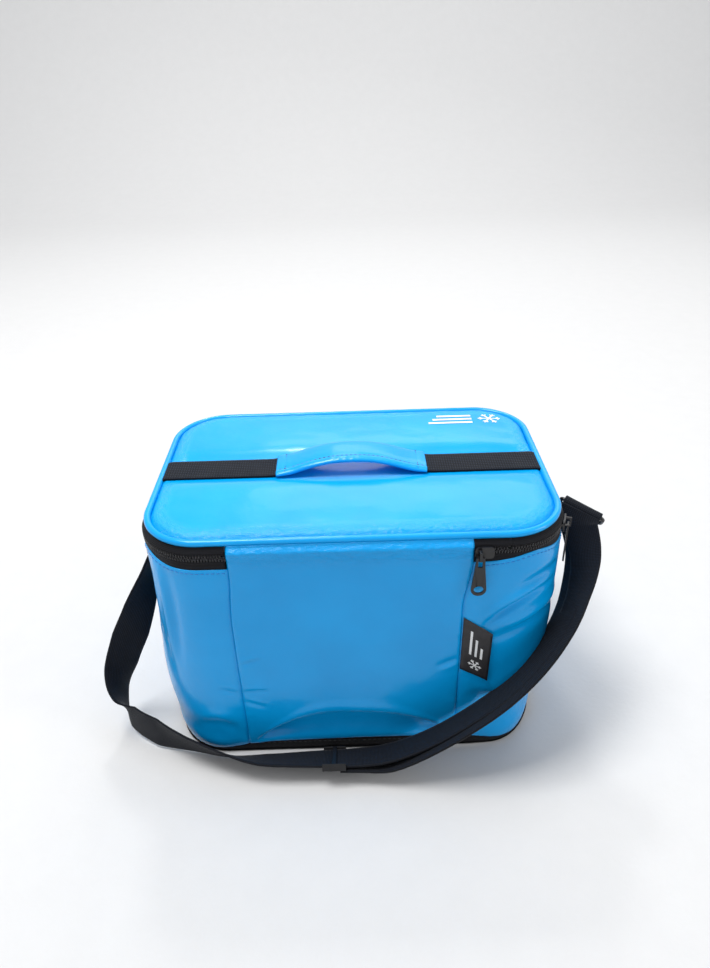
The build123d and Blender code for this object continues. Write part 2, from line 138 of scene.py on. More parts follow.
def ripple(a, b, scale_a, scale_b, seed):
    """Smooth random field between about -1 and 1 over two coordinates."""
    a, b = np.broadcast_arrays(a, b)
    flat = [
        noise.noise(Vector((u / scale_a, v / scale_b, seed)))
        for u, v in zip(np.ravel(a), np.ravel(b))
    ]
    return np.array(flat).reshape(np.shape(a))


# Furrows of the wall: start s, start z, end s, end z, width, depth, sideways bow.
FURROWS = [
    (-85.5, 97, -68, 104, 1.5, 0.9, 0.5),
    (-86, 69, -66, 70, 1.6, 1.1, 1),
    (-85, 60, -69, 52, 1.5, 0.8, 0),
    (-105, 73, -88, 67, 1.8, 0.9, 0),
    (-128, 30, -92, 26, 5.0, 1.4, 5),
    (-138, 188, -141, 90, 3.5, -2.4, 2),
    (-152, 194, -158, 110, 6.0, 3.2, -3),
    (-170, 186, -178, 130, 5.0, 1.4, 3),
    (76, 99, 58, 90, 2.2, 1.0, 0),
    (89, 124, 152, 156, 2.8, 3.2, 11),
    (110, 160, 160, 168, 4.0, 1.6, 3),
    (97, 117, 172, 130, 4.5, 3.0, 5),
    (104, 48, 172, 122, 9.0, 4.2, -9),
    (84, 62, 122, 30, 7.0, 1.8, 4),
    (196, 170, 232, 92, 8.0, 2.0, 8),
    (262, 40, 330, 70, 7.0, 1.6, 6),
    (398, 150, 442, 60, 9.0, 1.6, 9),
    (505, 44, 565, 30, 7.0, 1.8, 8),
    (606, 160, 646, 96, 7.0, 1.6, -6),
    (696, 120, 728, 60, 8.0, 2.0, 6),
]


def furrow(s, z, line):
    """A furrow between two points of the wall with a low ridge beside it, deepest in its middle."""
    s0, z0, s1, z1, width, depth, bow = line
    long = math.hypot(s1 - s0, z1 - z0)
    across, up = (s1 - s0) / long, (z1 - z0) / long
    s = (s - s0 + AROUND / 2) % AROUND - AROUND / 2
    t = (s * across + (z - z0) * up) / long
    side = (z - z0) * across - s * up - bow * 4 * t * (1 - t)
    along = np.clip(1 - (2 * t - 1) ** 2, 0, 1)
    return -depth * along * (bump(side, width) - 0.6 * bump(side - 1.9 * width, 1.2 * width))


def near_side(s):
    """The same place round the body as a distance from the middle of the hinge side, either way."""
    return (np.asarray(s, float) + AROUND / 2) % AROUND - AROUND / 2


def arch(s, z):
    """The wall steps in below an arch at the foot of the centre panel, and comes out again at the base."""
    share = np.abs(s + 12) / np.where(s < -12, 68, 92)
    height = 46 - 32 * np.minimum(share, 1.2) ** 2.3
    below = (height - z) / np.maximum(height - 12, 1)
    inside = smooth((1.04 - share) / 0.2)
    step = smooth(below / 0.24) * (1 - smooth((below - 0.40) / 0.6))
    lip = bump(below + 0.10, 0.16)
    return inside * (0.9 * lip - 5.2 * step)


def tuck(s, z):
    """The near corner at the slider end is pushed in at its foot."""
    return -6.5 * bump(near_side(s) - 152, 36) * (1 - smooth(np.asarray(z, float) / 110))


def relief(s, z):
    """How far the soft wall stands out from its straight shape."""
    near = near_side(s)
    out = 1.2 * np.sin(math.pi * np.clip(z / 190, 0, 1)) ** 0.8
    out = out - 0.5 * (bump(near - SEAM_LEFT, 5) + bump(near - SEAM_RIGHT, 5)) * smooth((196 - z) / 20)
    out = out + 0.8 * ripple(s, z, 46, 70, 3.0) + 0.22 * ripple(s, z, 17, 25, 8.0)
    pucker = bump(np.minimum(np.abs(near - SEAM_LEFT), np.abs(near - SEAM_RIGHT)), 10)
    out = out + 0.3 * pucker * ripple(s, z, 14, 5, 5.0)
    out = out + 0.6 * bump(z - 20, 12) * ripple(s, z, 16, 40, 11.0)
    for line in FURROWS:
        out = out + furrow(s, z, line)
    full = 5.0 * bump(near + 172, 36) * bump(z - 62, 44)
    hang = (3.4 * bump(near + 122, 36) + 2.6 * bump(near - 128, 36)) * bump(z - 12, 10)
    return (out + arch(near, z) + full) * smooth((z - 8) / 12) + hang + tuck(s, z)


# ---- making meshes ----------------------------------------------------------------------------
def link(name, data, material, body):
    piece = bpy.data.objects.new(name, data)
    bpy.context.scene.collection.objects.link(piece)
    data.materials.append(material)
    if body:
        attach(piece, body)
    return piece


def mesh_piece(name, points, faces, material, body, uv=None):
    """A mesh from points in millimetres; uv is one pair of metres for each point."""
    mesh = bpy.data.meshes.new(name)
    mesh.from_pydata((np.asarray(points, float) * MM).tolist(), [], faces)
    if uv is not None:
        corner = np.zeros(len(mesh.loops), np.int32)
        mesh.loops.foreach_get("vertex_index", corner)
        layer = mesh.uv_layers.new(name="UVMap")
        layer.data.foreach_set("uv", (np.asarray(uv, float) * MM)[corner].ravel())
    mesh.shade_smooth()
    mesh.update()
    return link(name, mesh, material, body)


def grid_piece(name, grid, u, v, material, body, caps=False):
    """A sheet of quads over a grid of points; rows run along u and columns along v."""
    rows, columns = grid.shape[:2]
    index = np.arange(rows * columns).reshape(rows, columns)
    quads = np.stack([index[:-1, :-1], index[1:, :-1], index[1:, 1:], index[:-1, 1:]], -1)
    faces = quads.reshape(-1, 4).tolist()
    if caps:
        faces += [index[0, :-1].tolist(), index[-1, :-1][::-1].tolist()]
    uv = np.stack(np.broadcast_arrays(np.asarray(u, float)[:, None], np.asarray(v, float)[None, :]), -1)
    return mesh_piece(name, grid.reshape(-1, 3), faces, material, body, uv.reshape(-1, 2))


def thicken(piece, thickness, inward=True):
    modifier = piece.modifiers.new("thickness", "SOLIDIFY")
    modifier.thickness = thickness * MM
    modifier.offset = -1 if inward else 1
    return piece


def round_edges(node, width):
    """Softens the edges of a CAD node without changing its mesh."""
    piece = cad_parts[node]
    weld = piece.modifiers.new("weld", "WELD")
    weld.merge_threshold = 1e-5
    bevel = piece.modifiers.new("bevel", "BEVEL")
    bevel.width = width * MM
    bevel.segments = 2
    bevel.limit_method = "ANGLE"
    bevel.angle_limit = math.radians(35)


def steps(start, end, step):
    return np.linspace(start, end, max(2, round(abs(end - start) / step) + 1))


def frames_along(path, across):
    """Unit tangents and across directions square to them."""
    tangent = np.gradient(path, axis=0)
    tangent /= np.linalg.norm(tangent, axis=1, keepdims=True)
    across = across - (across * tangent).sum(1, keepdims=True) * tangent
    across /= np.linalg.norm(across, axis=1, keepdims=True)
    return tangent, across


def ribbon(name, path, across, width, thickness, material, body, edge=0.35):
    """Flat webbing along a path in millimetres, with across giving its width direction at each point."""
    tangent, across = frames_along(path, across)
    face = np.cross(across, tangent)
    half, thin = width / 2, thickness / 2
    top = np.linspace(-1, 1, 13)
    swell = thin * (1 + 0.10 * (np.abs(top) > 0.8))
    ring_w = np.concatenate([top * (half - edge), [half], top[::-1] * (half - edge), [-half]])
    ring_h = np.concatenate([swell, [0], -swell[::-1], [0]])
    ring_w, ring_h = np.append(ring_w, ring_w[0]), np.append(ring_h, ring_h[0])
    grid = path[:, None] + across[:, None] * ring_w[None, :, None] + face[:, None] * ring_h[None, :, None]
    along = np.concatenate([[0], np.cumsum(np.linalg.norm(np.diff(path, axis=0), axis=1))])
    return grid_piece(name, grid, along, ring_w, material, body, caps=True)


def spline_points(points, resolution=10):
    """Points in millimetres along the NURBS spline that has these control points, with no bevel."""
    curve = bpy.data.curves.new("route", "CURVE")
    curve.dimensions = "3D"
    curve.resolution_u = resolution
    line = curve.splines.new("NURBS")
    line.points.add(len(points) - 1)
    for place, point in zip(line.points, points):
        place.co = (*[value * MM for value in point], 1)
    line.order_u = 3
    line.use_endpoint_u = True
    route = bpy.data.objects.new("route", curve)
    mesh = bpy.data.meshes.new_from_object(route)
    found = np.array([vertex.co for vertex in mesh.vertices], float) / MM
    bpy.data.meshes.remove(mesh)
    bpy.data.objects.remove(route)
    bpy.data.curves.remove(curve)
    return found


def stations(values, count):
    """Directions given at a clamped quadratic spline's control points, at its evenly spaced samples."""
    values = np.array(values, float)
    values /= np.linalg.norm(values, axis=1, keepdims=True)
    knots = np.concatenate([[0], np.arange(1, len(values) - 1) - 0.5, [len(values) - 2]])
    at = np.linspace(0, len(values) - 2, count)
    return np.stack([np.interp(at, knots, values[:, k]) for k in range(3)], axis=1)


def stitches(name, points, directions, normals, material, body, length=2.6, thick=0.32):
    """Short raised threads, one at each point, all in one mesh."""
    points, directions, normals = (np.asarray(a, float) for a in (points, directions, normals))
    directions = directions / np.linalg.norm(directions, axis=1, keepdims=True)
    side = np.cross(normals, directions)
    side /= np.linalg.norm(side, axis=1, keepdims=True)
    up = np.cross(directions, side)
    vertices, faces = [], []
    rings = ((-0.5, 0.35, -0.25), (-0.28, 1.0, 0.1), (0.28, 1.0, 0.1), (0.5, 0.35, -0.25))
    for point, along, across, rise in zip(points, directions, side, up):
        first = len(vertices)
        for place, scale, lift in rings:
            for corner in range(6):
                angle = corner * math.pi / 3
                vertices.append(
                    point + along * place * length + across * math.cos(angle) * thick * scale
                    + rise * (math.sin(angle) * thick * scale + lift * thick)
                )
        for ring in range(3):
            for corner in range(6):
                a = first + ring * 6 + corner
                b = first + ring * 6 + (corner + 1) % 6
                faces.append((a, b, b + 6, a + 6))
        faces.append(tuple(first + corner for corner in range(5, -1, -1)))
        faces.append(tuple(first + 18 + corner for corner in range(6)))
    return mesh_piece(name, vertices, faces, material, body)


# ---- materials ---------------------------------------------------------------------------------
def start_material(name):
    material = bpy.data.materials.new(name)
    material.use_nodes = True
    nodes, links = material.node_tree.nodes, material.node_tree.links
    return material, nodes, links, nodes["Principled BSDF"]


def coordinates(nodes, links, uv, scale=(1, 1, 1)):
    source = nodes.new("ShaderNodeTexCoord")
    mapping = nodes.new("ShaderNodeMapping")
    mapping.inputs["Scale"].default_value = scale
    links.new(source.outputs["UV" if uv else "Object"], mapping.inputs["Vector"])
    return mapping.outputs["Vector"]


def noise_texture(nodes, links, vector, scale, detail=3.0, roughness=0.5):
    texture = nodes.new("ShaderNodeTexNoise")
    texture.inputs["Scale"].default_value = scale
    texture.inputs["Detail"].default_value = detail
    texture.inputs["Roughness"].default_value = roughness
    links.new(vector, texture.inputs["Vector"])
    return texture.outputs["Fac"]


def wave_texture(nodes, links, vector, scale, direction, distortion=0.0):
    texture = nodes.new("ShaderNodeTexWave")
    texture.bands_direction = direction
    texture.inputs["Scale"].default_value = scale
    texture.inputs["Distortion"].default_value = distortion
    links.new(vector, texture.inputs["Vector"])
    return texture.outputs["Fac"]


def ramp(nodes, links, value, stops):
    """Colour ramp with (place, colour) stops."""
    node = nodes.new("ShaderNodeValToRGB")
    elements = node.color_ramp.elements
    while len(elements) < len(stops):
        elements.new(0.5)
    for element, (place, colour) in zip(elements, stops):
        element.position = place
        element.color = (*colour, 1)
    links.new(value, node.inputs["Fac"])
    return node.outputs["Color"]


def spread(nodes, links, value, low, high):
    """Maps a 0 to 1 value to the range low to high."""
    node = nodes.new("ShaderNodeMapRange")
    node.inputs["To Min"].default_value = low
    node.inputs["To Max"].default_value = high
    links.new(value, node.inputs["Value"])
    return node.outputs["Result"]


def combine(nodes, links, operation, first, second):
    node = nodes.new("ShaderNodeMath")
    node.operation = operation
    links.new(first, node.inputs[0])
    if isinstance(second, (int, float)):
        node.inputs[1].default_value = second
    else:
        links.new(second, node.inputs[1])
    return node.outputs["Value"]


def add_bump(nodes, links, shader, height, strength, distance, under=None):
    node = nodes.new("ShaderNodeBump")
    node.inputs["Strength"].default_value = strength
    node.inputs["Distance"].default_value = distance * MM
    links.new(height, node.inputs["Height"])
    if under is not None:
        links.new(under, node.inputs["Normal"])
    links.new(node.outputs["Normal"], shader.inputs["Normal"])
    return node.outputs["Normal"]


def pvc_material(name, deep, light, rough_low, rough_high, creased=None):
    """Glossy PVC-coated fabric: even colour with faint clouds, soft waves and a fine grain.

    Where creased gives two distances, in metres of UV height, fine creases fade in between them.
    """
    material, nodes, links, shader = start_material(name)
    place = coordinates(nodes, links, uv=False)
    clouds = noise_texture(nodes, links, place, 14, 3)
    links.new(ramp(nodes, links, clouds, [(0.3, deep), (0.75, light)]), shader.inputs["Base Color"])
    smears = noise_texture(nodes, links, place, 55, 4, 0.6)
    links.new(spread(nodes, links, smears, rough_low, rough_high), shader.inputs["Roughness"])
    shader.inputs["Specular IOR Level"].default_value = 0.3
    shader.inputs["Coat Weight"].default_value = 0.16
    shader.inputs["Coat Roughness"].default_value = 0.05
    waves = noise_texture(nodes, links, place, 90, 2)
    grain = noise_texture(nodes, links, place, 1400, 2)
    under = add_bump(nodes, links, shader, waves, 0.35, 0.5)
    under = add_bump(nodes, links, shader, grain, 0.12, 0.08, under)
    if creased:
        along = coordinates(nodes, links, uv=True, scale=(0.45, 1, 1))
        split = nodes.new("ShaderNodeSeparateXYZ")
        links.new(along, split.inputs["Vector"])
        fade = nodes.new("ShaderNodeMapRange")
        fade.interpolation_type = "SMOOTHSTEP"
        fade.inputs["From Min"].default_value = creased[0]
        fade.inputs["From Max"].default_value = creased[1]
        links.new(split.outputs["Y"], fade.inputs["Value"])
        crinkle = noise_texture(nodes, links, along, 420, 4, 0.65)
        height = combine(nodes, links, "MULTIPLY", crinkle, fade.outputs["Result"])
        node = add_bump(nodes, links, shader, height, 0.9, 1.3, under)
        links.new(node, shader.inputs["Coat Normal"])
    return material


def webbing_material(name, dark, light, pitch=1.25):
    """Ribbed polypropylene webbing: ribs along the tape, crossed by fine picks; needs UVs in metres."""
    material, nodes, links, shader = start_material(name)
    place = coordinates(nodes, links, uv=True)
    per_metre = 1000 / pitch * 0.314  # a wave texture of scale 1 repeats every 0.314 m
    ribs = wave_texture(nodes, links, place, per_metre, "Y", 0.3)
    picks = wave_texture(nodes, links, place, per_metre * 1.4, "X", 0.3)
    weave = combine(nodes, links, "MULTIPLY", ribs, picks)
    fuzz = noise_texture(nodes, links, place, 900, 3, 0.7)
    shade = combine(nodes, links, "MULTIPLY", weave, fuzz)
    links.new(ramp(nodes, links, shade, [(0.04, dark), (0.45, light)]), shader.inputs["Base Color"])
    wear = noise_texture(nodes, links, place, 60, 3)
    links.new(spread(nodes, links, wear, 0.6, 0.85), shader.inputs["Roughness"])
    shader.inputs["Sheen Weight"].default_value = 0.06
    shader.inputs["Specular IOR Level"].default_value = 0.2
    shader.inputs["Sheen Roughness"].default_value = 0.4
    under = add_bump(nodes, links, shader, weave, 0.7, 0.35)
    add_bump(nodes, links, shader, fuzz, 0.2, 0.1, under)
    return material


def plain_material(name, dark, light, scale, rough, metallic=0.0, bump_size=0.05, grain=600):
    """Plastic, metal, thread or foam: clouded colour, uneven gloss and a fine grain."""
    material, nodes, links, shader = start_material(name)
    place = coordinates(nodes, links, uv=False)
    clouds = noise_texture(nodes, links, place, scale, 4, 0.6)
    links.new(ramp(nodes, links, clouds, [(0.3, dark), (0.7, light)]), shader.inputs["Base Color"])
    links.new(spread(nodes, links, clouds, *rough), shader.inputs["Roughness"])
    shader.inputs["Metallic"].default_value = metallic
    fine = noise_texture(nodes, links, place, grain, 3)
    add_bump(nodes, links, shader, fine, 0.3, bump_size)
    return material


def foil_material(name):
    """Heat-sealed silver lining: bright, crinkled and slightly soft."""
    material, nodes, links, shader = start_material(name)
    place = coordinates(nodes, links, uv=False)
    clouds = noise_texture(nodes, links, place, 25, 5, 0.6)
    stops = [(0.3, (0.46, 0.48, 0.50)), (0.7, (0.70, 0.72, 0.74))]
    links.new(ramp(nodes, links, clouds, stops), shader.inputs["Base Color"])
    links.new(spread(nodes, links, clouds, 0.22, 0.42), shader.inputs["Roughness"])
    shader.inputs["Metallic"].default_value = 0.7
    cells = nodes.new("ShaderNodeTexVoronoi")
    cells.inputs["Scale"].default_value = 160
    links.new(place, cells.inputs["Vector"])
    under = add_bump(nodes, links, shader, cells.outputs["Distance"], 0.35, 0.5)
    add_bump(nodes, links, shader, noise_texture(nodes, links, place, 500, 3), 0.25, 0.15, under)
    return material


blue = pvc_material("blue_pvc", (0.0, 0.31, 0.74), (0.0, 0.365, 0.84), 0.17, 0.30)
panel_blue = pvc_material("panel_pvc", (0.0, 0.31, 0.74), (0.0, 0.365, 0.84), 0.17, 0.30, (0.186, 0.196))
# The lid skin is the walls' blue PVC with its colour painted a little lighter: painted light on the lid's
# upward face.
lid_blue_painted_light = pvc_material("lid_pvc_painted_light", (0.0, 0.33, 0.78), (0.0, 0.38, 0.86), 0.17, 0.30, (0.024, 0.034))
strap_black = webbing_material("strap_webbing", (0.003, 0.004, 0.007), (0.011, 0.016, 0.028), 1.5)
handle_black = webbing_material("handle_webbing_weave", (0.002, 0.003, 0.006), (0.020, 0.028, 0.046), 2.6)
tape_black = webbing_material("zip_tape_weave", (0.003, 0.003, 0.005), (0.010, 0.011, 0.015), 0.8)
coil_black = plain_material("coil_nylon", (0.006, 0.006, 0.008), (0.014, 0.014, 0.018), 90, (0.2, 0.34))
metal_black = plain_material("black_metal", (0.004, 0.004, 0.005), (0.010, 0.010, 0.012), 120, (0.22, 0.40))
plastic_black = plain_material("black_plastic", (0.003, 0.003, 0.004), (0.008, 0.008, 0.010), 80, (0.45, 0.6))
base_black = plain_material(
    "base_fabric", (0.010, 0.011, 0.013), (0.024, 0.026, 0.030), 70, (0.45, 0.65), 0, 0.15, 500
)
thread_dark = plain_material("dark_thread", (0.006, 0.030, 0.085), (0.012, 0.050, 0.13), 300, (0.5, 0.7))
thread_black = plain_material("black_thread", (0.008, 0.008, 0.010), (0.03, 0.03, 0.035), 300, (0.5, 0.7))
thread_blue = plain_material("blue_thread", (0.0, 0.16, 0.50), (0.0, 0.22, 0.62), 300, (0.4, 0.6))
label_black = plain_material(
    "label_satin", (0.008, 0.007, 0.009), (0.022, 0.020, 0.024), 150, (0.35, 0.5), 0, 0.1, 1200
)
print_white = plain_material("white_print", (0.70, 0.72, 0.74), (0.85, 0.86, 0.87), 100, (0.35, 0.5))
foil = foil_material("silver_lining")


# ---- camera --------------------------------------------------------------------------------------
CAMERA_AT = (1.86, -502.18, 501.89)
PITCH = math.radians(31.68)  # below the horizon
YAW = math.radians(0.06)
ROLL = math.radians(-1.7)
LONG_SIDE = 968
FOCAL_PIXELS = 750.3


def add_camera():
    forward = Vector((math.sin(YAW) * math.cos(PITCH), math.cos(YAW) * math.cos(PITCH), -math.sin(PITCH)))
    level = Vector((math.cos(YAW), -math.sin(YAW), 0))
    upright = level.cross(forward)
    right = level * math.cos(ROLL) + upright * math.sin(ROLL)
    up = upright * math.cos(ROLL) - level * math.sin(ROLL)
    data = bpy.data.cameras.new("camera")
    data.sensor_width = 36
    data.lens = FOCAL_PIXELS * data.sensor_width / LONG_SIDE
    data.clip_start = 0.01
    camera = bpy.data.objects.new("camera", data)
    bpy.context.scene.collection.objects.link(camera)
    turn = np.array([right, up, -forward]).T
    rows = [[*row, place * MM] for row, place in zip(turn, CAMERA_AT)]
    camera.matrix_world = Matrix(rows + [[0, 0, 0, 1]])
    bpy.context.scene.camera = camera


add_camera()

# ---- shoulder strap --------------------------------------------------------------------------------
FOLD = np.array([173, -34, 185])  # middle of the ring bar that the strap folds over
BAR = np.array([0.83, -0.48, -0.29])
BAR /= np.linalg.norm(BAR)
LEGS = np.array([0, -0.1, -0.995])
LEGS -= BAR * (LEGS @ BAR)
LEGS /= np.linalg.norm(LEGS)
LEG_SIDE = np.cross(BAR, LEGS)  # from the strap's return leg to its main leg
RING_TILT = math.radians(43)
RING_DOWN = LEGS * math.cos(RING_TILT) + LEG_SIDE * math.sin(RING_TILT)
LOOP = 2.8  # middle of the webbing round a ring's wire
LEG = 9.5
LEFT_BAR = np.array([-154.6, -23, 163])
WIDTH_AT_FOLD = -BAR

# The free strap: each point of its route, and the direction across the webbing there.
STRAP = [
    ((-157, -25, 155), (0, 1, 0)),
    ((-162, -34, 139), (0.1, 0.9, -0.4)),
    ((-169, -45, 116), (0.65, 0.7, -0.3)),
    ((-181, -50, 88), (0.8, 0.4, -0.4)),
    ((-194, -54, 58), (0.7, 0.6, -0.3)),
    ((-198, -62, 33), (0.1, 0.9, -0.4)),
    ((-186, -76, 20), (-0.4, 0.3, -0.85)),
    ((-163, -90, 18), (-0.5, 0.2, -0.85)),
    ((-134, -102, 17), (-0.3, 0.45, -0.84)),
    ((-103, -112, 14), (-0.2, 0.6, -0.76)),
    ((-77, -116, 12.6), (0, 0.80, -0.60)),
    ((-38, -116, 12.6), (0, 0.87, -0.50)),
    ((1, -116, 12.6), (0, 0.90, -0.43)),
    ((25, -115, 15.5), (0.09, 0.92, -0.39)),
    ((54, -114, 29), (0.18, 0.92, -0.34)),
    ((83, -113, 51), (0.20, 0.93, -0.30)),
    ((111, -111, 76), (0.11, 0.94, -0.33)),
    ((133, -102, 98), (-0.08, 0.90, -0.43)),
    ((151, -87, 118), (-0.27, 0.78, -0.57)),
    ((162, -70, 128), (-0.36, 0.65, -0.66)),
    ((170, -54, 140), (-0.43, 0.71, -0.56)),
    ((174, -43, 153), (-0.53, 0.72, -0.45)),
    ((173, -36, 165), (-0.69, 0.60, -0.40)),
    (tuple(FOLD + LEGS * LEG + LEG_SIDE * (LOOP + 0.6)), (-0.80, 0.53, 0)),
    (tuple(FOLD + LEG_SIDE * LOOP), tuple(WIDTH_AT_FOLD)),
]
TAIL = [
    (tuple(FOLD - LEG_SIDE * LOOP), tuple(WIDTH_AT_FOLD)),
    (tuple(FOLD + LEGS * 8 - LEG_SIDE * 5), (-0.80, 0.53, 0.05)),
    ((172, -43, 168), (-0.69, 0.60, -0.40)),
    ((174, -52, 158), (-0.53, 0.72, -0.45)),
    ((172, -62, 147), (-0.43, 0.71, -0.56)),
    ((165, -76, 134), (-0.36, 0.65, -0.66)),
    ((153, -94, 122), (-0.27, 0.78, -0.57)),
    ((134, -110, 102), (-0.10, 0.88, -0.46)),
    ((110, -120, 79), (0.08, 0.93, -0.36)),
    ((82, -122, 53), (0.20, 0.93, -0.30)),
    ((54, -122, 30), (0.20, 0.92, -0.34)),
    ((32, -121, 14.5), (0.12, 0.90, -0.42)),
    ((17, -120, 8.6), (0.03, 0.88, -0.48)),
    ((2, -118.6, 8.7), (0, 0.88, -0.48)),
    ((-15, -118.1, 8.7), (0, 0.88, -0.48)),
]


def arc(centre, start, end, turns=12):
    """Half a turn of webbing round a bar, from one side direction over another to the opposite side."""
    angle = np.linspace(0, math.pi, turns)
    return centre + LOOP * (np.cos(angle)[:, None] * start + np.sin(angle)[:, None] * end)


def straight(start, end, step=3.0):
    start, end = np.array(start, float), np.array(end, float)
    share = steps(0, np.linalg.norm(end - start), step) / np.linalg.norm(end - start)
    return start + share[:, None] * (end - start)


def strap_piece(name, route, body):
    path = spline_points([point for point, _ in route])
    across = stations([direction for _, direction in route], len(path))
    piece = ribbon(name, path, across, WEBBING, WEBBING_THICK, strap_black, body)
    return piece, path


def loop_piece(name, parts, across, nodes, width=WEBBING, body="bag", thick=WEBBING_THICK):
    path = np.concatenate(parts)
    keep = np.concatenate([[True], np.linalg.norm(np.diff(path, axis=0), axis=1) > 0.05])
    path = path[keep]
    across = np.array(across, float)
    if across.ndim == 1:
        across = np.repeat(across[None], len(path), axis=0)
    else:
        share = np.linspace(0, 1, len(path))
        places = np.linspace(0, 1, len(across))
        across = np.stack([np.interp(share, places, across[:, k]) for k in range(3)], axis=1)
    piece = ribbon(name, path, across, width, thick, strap_black, body)
    if nodes:
        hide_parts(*nodes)
    return piece


strap, strap_path = strap_piece("shoulder_strap", STRAP, "bag")
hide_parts("strap_left", "strap_flat", "strap_right")
tail, tail_path = strap_piece("strap_return", TAIL, None)
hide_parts("strap_tail", "strap_tail_end")
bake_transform(tail)

down, up, out_left, in_left = (np.array(v, float) for v in ((0, 0, -1), (0, 0, 1), (-1, 0, 0), (1, 0, 0)))
loop_piece(
    "strap_sewn_end",
    [
        straight((-153.4, -25.5, 139), LEFT_BAR + in_left * LOOP + down * 3),
        arc(LEFT_BAR, in_left, up),
        straight(LEFT_BAR + out_left * LOOP, (-157.2, -24.4, 156)),
    ],
    (0, 1, 0), ["strap_end_loop"],
)
strap_fold = loop_piece(
    "strap_ring_fold",
    [
        straight(FOLD + LEGS * 1.5 + LEG_SIDE * (LOOP + 0.03), FOLD + LEG_SIDE * LOOP, 1.0),
        arc(FOLD, LEG_SIDE, -LEGS, 20),
        straight(FOLD - LEG_SIDE * LOOP, FOLD + LEGS * 1.5 - LEG_SIDE * (LOOP + 0.03), 1.0),
    ],
    WIDTH_AT_FOLD, ["strap_fold"],
)
LEFT_TOP_BAR = LEFT_BAR + up * 12
loop_piece(
    "left_ring_tab",
    [
        straight((-149.6, -23, 190), (-151.2, -23, 182)),
        straight((-151.2, -23, 182), LEFT_TOP_BAR + in_left * LOOP),
        arc(LEFT_TOP_BAR, in_left, down),
        straight(LEFT_TOP_BAR + out_left * LOOP, (-155.5, -23, 182)),
        straight((-155.5, -23, 182), (-151.6, -23, 190)),
    ],
    (0, 1, 0), ["left_tab"],
)
RIGHT_BAR = FOLD + RING_DOWN * 12
RIGHT_ANCHOR = np.array([149.6, -8, 177])
tab_way = RIGHT_ANCHOR - RIGHT_BAR
tab_way -= BAR * (tab_way @ BAR)
tab_way /= np.linalg.norm(tab_way)
tab_side = np.cross(BAR, tab_way)
TAB_LEG = 5.0
loop_piece(
    "right_tab_loop",
    [
        straight(RIGHT_BAR + tab_way * TAB_LEG + tab_side * 1.2, RIGHT_BAR + tab_side * LOOP, 1.5),
        arc(RIGHT_BAR, tab_side, -tab_way),
        straight(RIGHT_BAR - tab_side * LOOP, RIGHT_BAR + tab_way * TAB_LEG - tab_side * 1.2, 1.5),
    ],
    WIDTH_AT_FOLD, [],
)


def add_twisted_tab():
    """The tab's webbing turns from lying along the wall to lying along the ring's bar."""
    share = np.linspace(0, 1, 15)[:, None, None]
    across = np.linspace(-0.5, 0.5, 13)[None, :, None] * WEBBING
    at_wall = RIGHT_ANCHOR + across * np.array([0.0, -1.0, 0.0])
    at_ring = RIGHT_BAR + tab_way * (TAB_LEG - 0.5) + across * BAR
    grid = at_wall + (at_ring - at_wall) * share
    grid[..., 2] -= 2.5 * np.sin(math.pi * share[..., 0])
    tab = grid_piece("right_ring_tab", grid, share[:, 0, 0] * 30, across[0, :, 0], strap_black, "bag")
    thicken(tab, 2 * WEBBING_THICK).modifiers["thickness"].offset = 0
    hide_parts("right_tab")


add_twisted_tab()

for node in ("left_ring", "right_ring"):
    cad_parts[node].data.materials.clear()
    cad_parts[node].data.materials.append(metal_black)
for node, soft_edge in (("strap_adjuster", 0.5), ("hinge_side_slider", 0.3), ("corner_slider", 0.3),
                        ("hinge_side_puller", 0.3), ("corner_puller", 0.3)):
    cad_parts[node].data.materials.clear()
    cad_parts[node].data.materials.append(plastic_black if node == "strap_adjuster" else metal_black)
    round_edges(node, soft_edge)

[value * MM for value in STRAP[0][0]]
[value * MM for value in TAIL[0][0]]

# ---- walls -----------------------------------------------------------------------------------------
def wall_piece(name, start, end, z_values, out, material, body, step=2.2, cloth=None):
    s = steps(start, end, step)
    grid_s, grid_z = np.meshgrid(s, z_values, indexing="ij")
    lift = out(grid_s, grid_z) if callable(out) else out
    height = drawn_up(grid_s, grid_z) if cloth == "side" else grid_z
    around = seam_shift(grid_s, grid_z) if cloth else grid_s
    return grid_piece(name, wall(around, height, lift), s, z_values, material, body)


def seam_shift(s, z):
    """The seams of the centre panel wander: sideways shift of the cloth near them."""
    near = near_side(s)
    left = -2.8 * smooth((186 - z) / 50) * bump(near - SEAM_LEFT, 16)
    right = 5.0 * smooth((z - 148) / 38) * bump(near - SEAM_RIGHT, 15)
    return s + left + right


def drawn_up(s, z):
    """Height of the side fabric: its top edge is pulled up over the tape near both hinge-side corners."""
    near = near_side(s)
    pull = 5.5 * bump(near - 124, 19) + 4.5 * bump(near + 150, 15)
    return z + pull * smooth((z - 145) / 42)


def binding_top(s):
    near = near_side(s)
    low = np.maximum(bump(near + 122, 40), bump(near - 132, 38))
    return 12.4 - 6.5 * low + 0.4 * np.sin(s / 23.0)


def shell_out(s, z):
    """The side fabric: soft, tucked under the centre panel and the base band, and held at the tape."""
    near = near_side(s)
    under = smooth((near - SEAM_LEFT + 1.2) / 1.6) * smooth((SEAM_RIGHT + 1.2 - near) / 1.6)
    top = smooth((TAPE_FOOT - z) / 7)
    foot = smooth((binding_top(s) - 0.4 - z) / 2)
    return relief(s, z) * (0.15 + 0.85 * top) + 0.9 - 1.5 * under - 0.3 * smooth((z - 185) / 2) - 2.2 * foot


